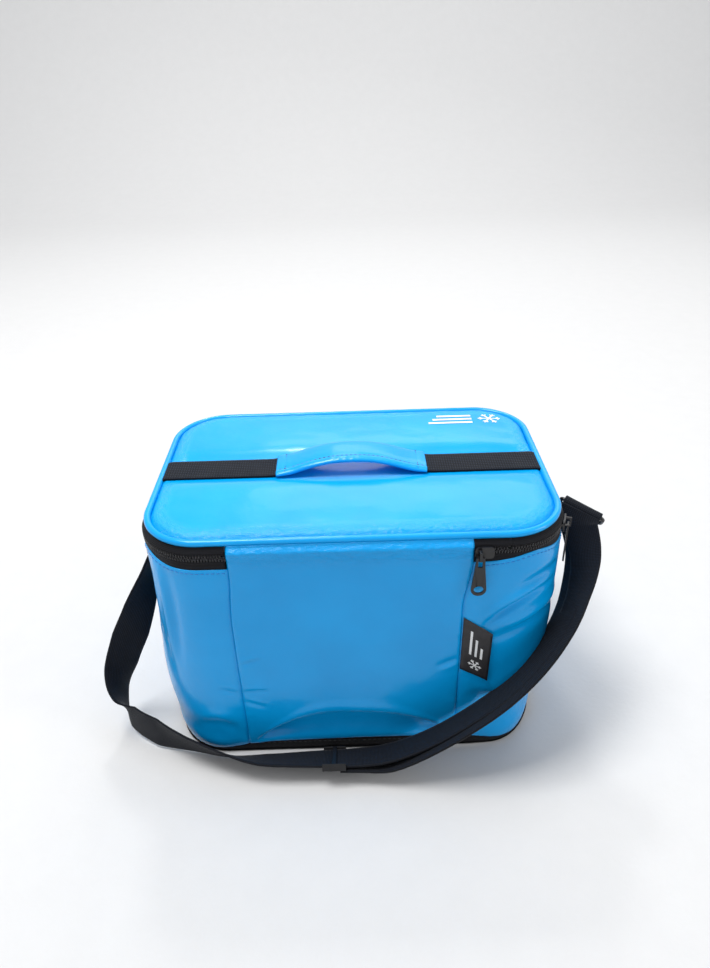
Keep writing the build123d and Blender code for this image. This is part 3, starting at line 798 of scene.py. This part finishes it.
def panel_out(s, z):
    """The centre panel: its edges are folded under and stand a little proud of the side fabric."""
    edge = np.minimum(s - SEAM_LEFT, SEAM_RIGHT - s)
    top = smooth((PANEL_TOP - z) / 18)
    creased = ripple(s, z, 5, 3.2, 21.0) + 0.5 * ripple(s, z, 2.6, 1.8, 23.0)
    ripples = 0.30 * bump(z - 196, 7) * creased
    tucked = -3.4 * smooth((z - 200.5) / 4.5)
    foot = smooth((binding_top(s) - 0.4 - z) / 2)
    return relief(s, z) * top + 0.5 + 1.2 * smooth(edge / 1.3) + ripples + tucked - 3.0 * foot


heights = np.concatenate([steps(4, 16, 1.2), steps(18, 180, 2.3), steps(181, TAPE_FOOT + 0.4, 1.1)])
shell = wall_piece(
    "side_fabric", SEAM_RIGHT - 1.4, AROUND + SEAM_LEFT + 1.4, heights, shell_out, blue, "bag", cloth="side"
)
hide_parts("wrap_panel", "front_foam", "back_foam", "left_foam", "right_foam")
thicken(shell, 0.9)

panel_heights = np.concatenate([steps(4, 16, 1.2), steps(18, 184, 2.1), steps(185, PANEL_TOP, 0.8)])
centre = wall_piece(
    "centre_panel", SEAM_LEFT, SEAM_RIGHT, panel_heights, panel_out, panel_blue, None, 1.4, "panel"
)
thicken(centre, 0.8)
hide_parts("hinge_panel")
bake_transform(centre)


def wall_stitches(name, start, end, z, out, material, pitch=3.6, body="bag", length=2.5):
    s = steps(start, end, pitch)
    z = np.broadcast_to(z, s.shape).astype(float)
    points = wall(seam_shift(s, z), drawn_up(s, z), out(s, z) + 0.1)
    next_points = wall(seam_shift(s + 0.5, z), drawn_up(s + 0.5, z), out(s + 0.5, z) + 0.1)
    _, _, angle = spine(s)
    normals = np.stack([np.cos(angle), np.sin(angle), 0 * angle], -1)
    return stitches(name, points, next_points - points, normals, material, body, length)


wall_stitches("side_top_stitching", SEAM_RIGHT + 3, AROUND + SEAM_LEFT - 3, 184.6, shell_out, thread_blue)


# ---- base --------------------------------------------------------------------------------------------
def add_base():
    s = steps(0, AROUND, 2.6)
    share = np.array([0.0, 0.12, 0.4, 0.7, 0.93, 1.0, 1.0])
    proud = np.array([-1.0, 1.0, 1.7, 1.7, 1.5, 0.9, -2.0])
    z = 0.3 + share[None, :] * (binding_top(s)[:, None] - 0.3)
    out = proud[None, :] + tuck(s, 6.0)[:, None] + 0.0 * z
    binding = grid_piece("base_band", wall(s[:, None], z, out), s, share * 12, tape_black, "bag")
    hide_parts("base_binding")
    wall_stitches("base_band_stitching", 0, AROUND, 9.2, lambda a, b: 1.6 + tuck(a, 6.0), thread_black, 4.0)

    radius = np.concatenate([[BEND - 1.6, BEND - 2.2], steps(BEND - 6, 0, 6), steps(-5, -SPINE_Y * 0.96, 6)])
    lift = np.concatenate([[1.4, 0.3], np.zeros(len(radius) - 2)])
    grid_s, grid_r = np.meshgrid(s, radius, indexing="ij")
    pushed = grid_r + tuck(grid_s, 6.0) * smooth(grid_r / BEND)
    weave = 0.06 * (1 + np.sin(grid_s * 1.7))
    sheet = grid_piece(
        "base_sheet", lid_point(grid_s, pushed, lift[None, :] + weave)[:, ::-1], s, radius, base_black, "bag"
    )
    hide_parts("base_panel", "base_board", "base_foam")
    hole = lid_point(s[:-1], -SPINE_Y * 0.96 + 0 * s[:-1], 0.06)
    mesh_piece("base_centre", hole, [list(range(len(hole)))[::-1]], base_black, "bag")


add_base()


# ---- lining --------------------------------------------------------------------------------------------
def add_lining():
    s = steps(0, AROUND, 3.0)
    cove = np.linspace(0, math.pi / 2, 7)
    wall_z = np.concatenate([[194.2, 194.6, 194.2], steps(190, 24, 5), 19.5 - 6.3 * np.sin(cove[1:])])
    inset = np.concatenate(
        [[1.3, 5.0, 9.6], np.full(len(wall_z) - 9, 10.9), 10.9 + 6.3 * (1 - np.cos(cove[1:]))]
    )
    grid_s, grid_z = np.meshgrid(s, wall_z, indexing="ij")
    crinkle = 0.5 * ripple(grid_s, grid_z, 9, 14, 31.0) * smooth((188 - grid_z) / 10)
    welds = 0.5 * sum(bump((grid_s - AROUND * k / 4 - 60 + 20) % AROUND - 20, 1.6) for k in range(4))
    grid = wall(grid_s, grid_z, -inset[None, :] + crinkle + welds)
    lining = grid_piece("body_lining", grid, s, wall_z, foil, "bag")
    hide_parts("inner_liner")

    radius = np.concatenate([steps(BEND - 19, 0, 4), steps(-4, -SPINE_Y * 0.97, 4)])
    grid_s, grid_r = np.meshgrid(s, radius, indexing="ij")
    z = 13.25 + 0.25 * (1 + ripple(grid_s, grid_r, 12, 9, 33.0))
    floor = grid_piece("body_lining_floor", lid_point(grid_s, grid_r, z), s, radius, foil, "bag")
    hole = lid_point(s[:-1], radius[-1] + 0 * s[:-1], 13.3)
    mesh_piece("body_lining_middle", hole, [list(range(len(hole)))], foil, "bag")


add_lining()


# ---- zip -------------------------------------------------------------------------------------------------
def tape_piece(name, start, end, z_low, z_high, body, nodes):
    """Zip tape with a raised cord beside the coil and a thin selvage."""
    z = steps(z_low, z_high, 0.7)

    def out(s, height):
        to_coil = np.minimum(np.abs(height - COIL_FOOT + 0.9), np.abs(height - COIL_TOP - 0.9))
        to_piping = -2.7 * smooth((height - 200.8) / 4)
        return 0.15 + 0.45 * bump(to_coil, 0.6) + 0.2 * bump(height - 190.5, 0.5) + to_piping

    piece = wall_piece(name, start, end, z, out, tape_black, body, 2.4)
    thicken(piece, 0.7)
    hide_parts(*nodes)
    return piece


TOOTH_PITCH = 2.0


def teeth(name, start, end, root, tip, shift, body, nodes):
    """A row of coil teeth from the tape's edge at root to the closing line at tip."""
    corner = np.arange(8) * math.pi / 4
    along = 0.62 * np.cos(corner)
    out = 0.85 * np.sin(corner) - 0.05
    rings = ((root, 0.9), (root + (tip - root) * 0.15, 1.0), (root + (tip - root) * 0.8, 1.0), (tip, 0.55))
    centres = np.arange(start + shift * TOOTH_PITCH, end, TOOTH_PITCH)
    ring_points = [
        wall(centres[:, None] + along[None, :] * scale, z, out[None, :] * scale) for z, scale in rings
    ]
    points = np.stack(ring_points, axis=1)
    faces = []
    for tooth in range(len(centres)):
        first = tooth * 32
        for ring in range(3):
            for k in range(8):
                a, b = first + ring * 8 + k, first + ring * 8 + (k + 1) % 8
                faces.append((a, b, b + 8, a + 8) if tip > root else (b, a, a + 8, b + 8))
        end_ring = [first + 24 + k for k in range(8)]
        faces.append(end_ring if tip > root else end_ring[::-1])
    piece = mesh_piece(name, points.reshape(-1, 3), faces, coil_black, body)
    if nodes:
        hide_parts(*nodes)
    return piece


round_start, round_end = SEAM_RIGHT + 1, AROUND + SEAM_LEFT - 1
tape_piece(
    "body_zip_band", round_start, round_end, TAPE_FOOT - 1.5, COIL_FOOT + 0.4, "bag", ["body_zip_tape"]
)
tape_piece("lid_zip_band", ZIP_END, round_end, COIL_TOP - 0.4, LID_TAPE_TOP, "lid", ["lid_zip_tape"])
tape_piece("zip_end_band", round_start, ZIP_END - 0.5, COIL_TOP - 0.4, 201.5, "bag", ["zip_end_tape"])
tape_piece("zip_end_lid_band", round_start, ZIP_END + 0.5, 201.2, LID_TAPE_TOP, "lid", [])
teeth(
    "body_zip_teeth", round_start + 1, round_end - 1, COIL_FOOT, COIL_MIDDLE + 0.25, 0, "bag",
    ["body_zip_coil"],
)
teeth(
    "lid_zip_teeth", ZIP_END + 0.5, round_end - 1, COIL_TOP, COIL_MIDDLE - 0.25, 0.25, "lid",
    ["lid_zip_coil"],
)
teeth("zip_end_teeth", round_start + 1, ZIP_END - 1.5, COIL_TOP, COIL_MIDDLE - 0.25, 0.5, "bag", [])
for node in ("zip_end_stops",):
    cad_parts[node].data.materials.clear()
    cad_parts[node].data.materials.append(metal_black)


# ---- lid -------------------------------------------------------------------------------------------------
LID_EDGE = LID_BEND - 2 * PIPING + 0.4


def lid_height(x, y, s, radius):
    """Top of the padded lid: rounded in from the piping, crowned, and held down under the webbing."""
    inside = LID_EDGE - radius
    rise = smooth(inside / 5) * 1.7 + 2.6 * (1 - np.exp(-inside / 22))
    beside = np.maximum(np.abs(y) - HANDLE_WEBBING / 2 - 0.5, 0)
    held = 1 - np.exp(-((beside / 9) ** 1.5))
    broad = 0.7 * ripple(x, y, 62, 48, 41.0) + 0.22 * ripple(x, y, 21, 15, 43.0)
    edge = bump(inside - 5.5, 4.5)
    fine = edge * (0.34 * ripple(s, radius, 6, 2.6, 45.0) + 0.22 * ripple(s, radius, 2.8, 1.6, 47.0))
    return LID_SKIN_Z - 1.6 * (1 - smooth(inside / 2.5)) + held * (rise + broad) + fine * (0.3 + 0.7 * held)


def add_lid():
    s = steps(0, AROUND, 1.9)
    radius = np.concatenate([steps(LID_EDGE, 22, 1.3), steps(19, 0, 3.2), steps(-3, -SPINE_Y * 0.97, 3.4)])
    grid_s, grid_r = np.meshgrid(s, radius, indexing="ij")
    flat = lid_point(grid_s, grid_r, 0.0)
    z = lid_height(flat[..., 0], flat[..., 1], grid_s, grid_r)
    # The lid skin takes the lighter blue, painted light on the top; its hidden middle keeps the plain wall
    # blue.
    skin = grid_piece("lid_skin", lid_point(grid_s, grid_r, z), s, radius, lid_blue_painted_light, "lid")
    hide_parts("lid_panel", "lid_foam")
    hole = lid_point(s[:-1], radius[-1] + 0 * s[:-1], z[:-1, -1])
    mesh_piece("lid_skin_middle", hole, [list(range(len(hole)))], blue, "lid")

    turn = np.linspace(0, 2 * math.pi, 17)
    s = steps(0, AROUND, 2.0)
    wobble = 0.12 * ripple(s, 0 * s, 11, 1, 51.0)
    middle = LID_BEND - PIPING
    tube_r = middle + (PIPING + wobble[:, None]) * np.cos(turn)[None, :]
    tube_z = PIPING_Z + (PIPING + wobble[:, None]) * np.sin(turn)[None, :]
    cord = grid_piece("piping", lid_point(s[:, None], tube_r, tube_z), s, turn * PIPING, blue, "lid")
    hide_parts("lid_piping")

    profile_r = np.array([LID_BEND - 2.2, LID_BEND - 4.6, LID_BEND - 5.0, LID_BEND - 5.6])
    profile_z = np.array([204.4, 204.0, 198.2, 197.3])
    inner = np.concatenate([steps(LID_BEND - 9, 0, 6), steps(-6, -SPINE_Y * 0.97, 6)])
    radius = np.concatenate([profile_r, inner])
    z = np.concatenate([profile_z, np.full(len(inner), 197.2)])
    grid_s, grid_r = np.meshgrid(s, radius, indexing="ij")
    flat = lid_point(grid_s, grid_r, 0.0)
    crinkle = 0.35 * ripple(flat[..., 0], flat[..., 1], 14, 10, 53.0) * smooth((LID_BEND - 6 - grid_r) / 6)
    under = lid_point(grid_s, grid_r, z[None, :] + crinkle)[:, ::-1]
    lining = grid_piece("lid_lining", under, s, radius[::-1], foil, "lid")
    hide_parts("lid_liner")
    hole = lid_point(s[:-1], radius[-1] + 0 * s[:-1], 197.2)
    mesh_piece("lid_lining_middle", hole, [list(range(len(hole)))[::-1]], foil, "lid")


add_lid()


# ---- handle ----------------------------------------------------------------------------------------------
def handle_height(x):
    """Middle of the handle webbing: flat on the lid, then up and over in one bow."""
    share = np.clip(np.abs(np.asarray(x, float)) / 65, 0, 1)
    return WEB_Z + 12.6 * np.cos(math.pi / 2 * share**1.25) ** 2


def add_handle():
    x = steps(-146.5, 146.5, 2.0)
    path = np.stack([x, 0 * x, handle_height(x)], -1)
    path[:, 2] -= 1.6 * smooth((np.abs(x) - 141) / 5)
    across = np.repeat([[0.0, 1.0, 0.0]], len(x), axis=0)
    webbing = ribbon("handle_strap", path, across, HANDLE_WEBBING, WEBBING_THICK, handle_black, "lid")
    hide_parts("handle_webbing")

    x = steps(-SLEEVE_HALF, SLEEVE_HALF, 1.0)
    path = np.stack([x, 0 * x, handle_height(x)], -1)
    across = np.repeat([[0.0, 1.0, 0.0]], len(x), axis=0)
    tangent, across = frames_along(path, across)
    face = np.cross(tangent, across)
    turn = np.linspace(0, 2 * math.pi, 49)
    wide = 15.2 * np.sign(np.cos(turn)) * np.abs(np.cos(turn)) ** 0.55
    high = 2.5 * np.sign(np.sin(turn)) * np.abs(np.sin(turn)) ** 0.75
    high = high * (1 - 0.35 * bump(wide + 8.5, 1.3)) + 0.5 * bump(wide + 12, 3) * (np.sin(turn) > 0)
    ends = 1 - 0.10 * bump(np.abs(x) - SLEEVE_HALF + 6.5, 1.4)
    pinch = 1 - 0.25 * smooth((np.abs(x) - 50) / 7)
    lift = 0.9 * smooth((np.abs(x) - 44) / 12)
    gathers = 0.35 * bump(wide + 12.5, 2.6)[None, :] * ripple(x[:, None], wide[None, :], 2.6, 7, 63.0)
    pillow = 0.25 * ripple(x, 0 * x, 14, 1, 61.0)
    height = high[None, :] * (ends * pinch)[:, None] + (pillow + lift)[:, None] + gathers
    grid = path[:, None] + across[:, None] * wide[None, :, None] + face[:, None] * height[..., None]
    grid = grid[:, ::-1]
    sleeve = grid_piece("handle_grip", grid, x, turn * 10, blue, "lid", caps=True)
    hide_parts("handle_sleeve")

    line = steps(-SLEEVE_HALF + 3, SLEEVE_HALF - 3, 3.4)
    high_at = handle_height(line) + 1.75 + 0.6 * smooth((np.abs(line) - 46) / 9)
    points = np.stack([line, np.full_like(line, -8.5), high_at], -1)
    slope = np.gradient(high_at, line)
    ways = np.stack([np.ones_like(line), 0 * line, slope], -1)
    normals = np.stack([-slope, 0 * line, np.ones_like(line)], -1)
    stitches("handle_stitching", points, ways, normals, thread_dark, "lid", 2.4)
    cross = steps(-12.5, 12.5, 3.2)
    for side in (-1, 1):
        at = side * (SLEEVE_HALF - 6.5)
        lean = float(np.gradient(handle_height(np.array([at - 1, at, at + 1])))[1])
        points = np.stack([np.full_like(cross, at), cross, np.full_like(cross, handle_height(at) + 2.45)], -1)
        ways = np.repeat([[0.0, 1.0, 0.0]], len(cross), axis=0)
        normals = np.repeat([[-lean, 0.0, 1.0]], len(cross), axis=0)
        name = "handle_stitching_left" if side < 0 else "handle_stitching_right"
        stitches(name, points, ways, normals, thread_dark, "lid", 2.3)


add_handle()


# ---- printed marks and side label ------------------------------------------------------------------
def bar(start, end, width):
    """Corners of a straight stroke, in the plane of a mark."""
    start, end = np.array(start, float), np.array(end, float)
    along = (end - start) / np.linalg.norm(end - start)
    side = np.array([-along[1], along[0]]) * width / 2
    return [start - side, end - side, end + side, start + side]


def snowflake(centre, size, width):
    strokes = []
    for k in range(6):
        angle = k * math.pi / 3
        way = np.array([math.cos(angle), math.sin(angle)])
        centre = np.array(centre, float)
        strokes.append(bar(centre, centre + way * size, width))
        for turn in (-1, 1):
            twig = np.array([math.cos(angle + turn * 0.8), math.sin(angle + turn * 0.8)])
            fork = centre + way * size * 0.6
            strokes.append(bar(fork, fork + twig * size * 0.34, width * 0.8))
    return strokes


def mark(name, strokes, place, material, body):
    """Flat strokes laid on a surface; place turns a point of the mark into a point on the surface."""
    points, faces = [], []
    for corners in strokes:
        corners = np.array(corners)
        share = np.linspace(0, 1, 7)
        for t in share:
            points.append(place(*(corners[0] * (1 - t) + corners[1] * t)))
            points.append(place(*(corners[3] * (1 - t) + corners[2] * t)))
        first = len(points) - 14
        faces += [(first + 2 * k, first + 2 * k + 2, first + 2 * k + 3, first + 2 * k + 1) for k in range(6)]
    return mesh_piece(name, points, faces, material, body)


def on_lid(x, y):
    """Point just above the lid's skin."""
    place = np.array([float(x)]), np.array([float(y)])
    reach = max(abs(float(x)) - SPINE_X, 0.0), max(abs(float(y)) - SPINE_Y, 0.0)
    radius = np.array([math.hypot(*reach)])
    return (float(x), float(y), float(lid_height(*place, np.array([300.0]), radius)[0]) + 0.25)


lid_strokes = snowflake((118, 69), 9.5, 1.5)
lid_strokes += [bar((66 + k * 4, 62 + k * 6.5), (103, 62 + k * 6.5), 3.2) for k in range(3)]
mark("lid_mark", lid_strokes, on_lid, print_white, "lid")

LABEL_CORNERS = ((76.5, 87), (97.5, 76), (98.5, 123), (77, 138))


def label_point(a, b, lift=0.0):
    """Point of the side label: a runs out from the seam and b up it, both 0 to 1."""
    low = np.array(LABEL_CORNERS[0]) * (1 - a) + np.array(LABEL_CORNERS[1]) * a
    high = np.array(LABEL_CORNERS[3]) * (1 - a) + np.array(LABEL_CORNERS[2]) * a
    s, z = low * (1 - b) + high * b
    out = float(shell_out(np.array([s]), np.array([z]))[0]) + 0.7 + 1.6 * a * a + lift
    return wall(s, z, out)


def add_label():
    a, b = np.linspace(0, 1, 13), np.linspace(0, 1, 25)
    grid = np.array([[label_point(u, v) for v in b] for u in a])
    label = grid_piece("seam_label", grid, a * 21, b * 50, label_black, "bag")
    thicken(label, 0.5)
    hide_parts("side_label")

    def place(u, v):
        return label_point(u / 21, v / 50, 0.15)

    mark("label_mark", snowflake((10.5, 10), 5.0, 0.9), place, print_white, "bag")
    strokes = [bar((6.5 + 4 * k, 19), (6.5 + 4 * k, 42 - 6 * k), 1.7) for k in range(3)]
    mark("label_bars", strokes, place, print_white, "bag")


add_label()


# ---- floor, backdrop and lights ---------------------------------------------------------------------------
def add_stage():
    material = plain_material(
        "pale_plaster", (0.63, 0.63, 0.63), (0.645, 0.645, 0.645), 40, (0.8, 0.9), 0, 0.6, 220
    )
    curve = 1800 + 900 * np.sin(np.linspace(0.1, math.pi / 2, 10))
    depth = np.concatenate([steps(-3000, 1800, 400), curve, [2700.0]])
    height = np.concatenate([np.zeros(13), 900 * (1 - np.cos(np.linspace(0.1, math.pi / 2, 10))), [4500.0]])
    width = steps(-4000, 4000, 500)
    grid = np.stack(np.broadcast_arrays(width[:, None], depth[None, :], height[None, :]), -1)
    floor = grid_piece("floor", grid, width, depth, material, None)
    floor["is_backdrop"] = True


def add_light(name, place, target, size, power, size_y=None):
    data = bpy.data.lights.new(name, "AREA")
    data.shape = "RECTANGLE"
    data.size = size
    data.size_y = size_y or size
    data.energy = power
    light = bpy.data.objects.new(name, data)
    bpy.context.scene.collection.objects.link(light)
    light.location = place
    light.rotation_mode = "QUATERNION"
    light.rotation_quaternion = (Vector(target) - Vector(place)).to_track_quat("-Z", "Y")


add_stage()
add_light("key_softbox", (-0.6, -0.2, 2.2), (0, 0, 0.1), 0.8, 36)
add_light("back_softbox", (0.5, 1.7, 1.4), (0, 0, 0.2), 1.8, 5, 0.5)
add_light("sparkle_light", (-0.15, 1.25, 1.95), (0, 0, 0.2), 0.22, 7)
add_light("side_softbox", (1.7, -0.6, 0.8), (0, 0, 0.1), 0.5, 8, 0.9)
add_light("backdrop_light", (0, 0.9, 3.2), (0, 3.0, 1.6), 2.5, 45)

world = bpy.data.worlds.new("studio")
bpy.context.scene.world = world
world.use_nodes = True
world.node_tree.nodes["Background"].inputs["Color"].default_value = (0.84, 0.85, 0.87, 1)
world.node_tree.nodes["Background"].inputs["Strength"].default_value = 0.62
bpy.context.scene.view_settings.view_transform = "Standard"

boxes = {"cad": cad_box, "visual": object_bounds()}
{name: [list(corner) for corner in box] for name, box in boxes.items()}
